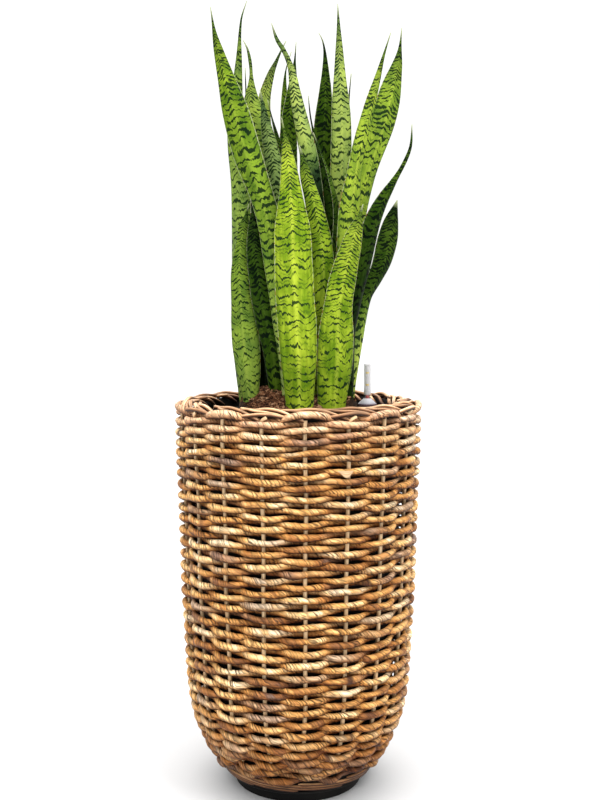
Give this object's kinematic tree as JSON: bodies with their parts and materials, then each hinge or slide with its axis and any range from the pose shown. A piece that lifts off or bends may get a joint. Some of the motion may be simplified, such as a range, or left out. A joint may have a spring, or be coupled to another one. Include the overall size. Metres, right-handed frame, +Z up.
{
  "type": "snake plant in basket",
  "caption": "Tall snake plant with banded upright leaves in a round woven basket with a black liner, clay granules and a water gauge.",
  "frame": {"origin": "middle of the foot's underside, on the basket's upright axis, at the floor", "axes": "+Z up along the basket's axis and the leaves, -Y towards the side the picture shows, +X to the picture's right"},
  "size_m": [0.3788, 0.3805, 1.208],
  "materials": {
    "weave": "twisted dried plant-fibre strands, matt, tan to dark brown",
    "rods": "thin peeled rods, smooth, red-brown",
    "plastic": "moulded, fine satin",
    "clay": "dry rough clay granules, red-brown",
    "clear": "clear moulded plastic",
    "float": "dark moulded plastic",
    "red": "glossy red plastic",
    "leaf": "firm waxy leaf, satin"
  },
  "bodies": {
    "root": {"basket": "weave", "rim_border": "rods", "foot_border": "rods", "liner": "plastic", "insert": "plastic", "substrate": "clay", "gauge_housing": "clear", "gauge_float": "float", "gauge_pointer": "red", "leaf_01": "leaf", "leaf_02": "leaf", "leaf_03": "leaf", "leaf_04": "leaf", "leaf_05": "leaf", "leaf_06": "leaf", "leaf_07": "leaf", "leaf_08": "leaf", "leaf_09": "leaf", "leaf_10": "leaf", "leaf_11": "leaf", "leaf_12": "leaf", "leaf_13": "leaf", "leaf_14": "leaf", "leaf_15": "leaf", "leaf_16": "leaf", "leaf_17": "leaf", "leaf_18": "leaf", "leaf_19": "leaf", "leaf_20": "leaf", "leaf_21": "leaf", "leaf_22": "leaf", "leaf_23": "leaf", "leaf_24": "leaf"}
  },
  "joints": []
}
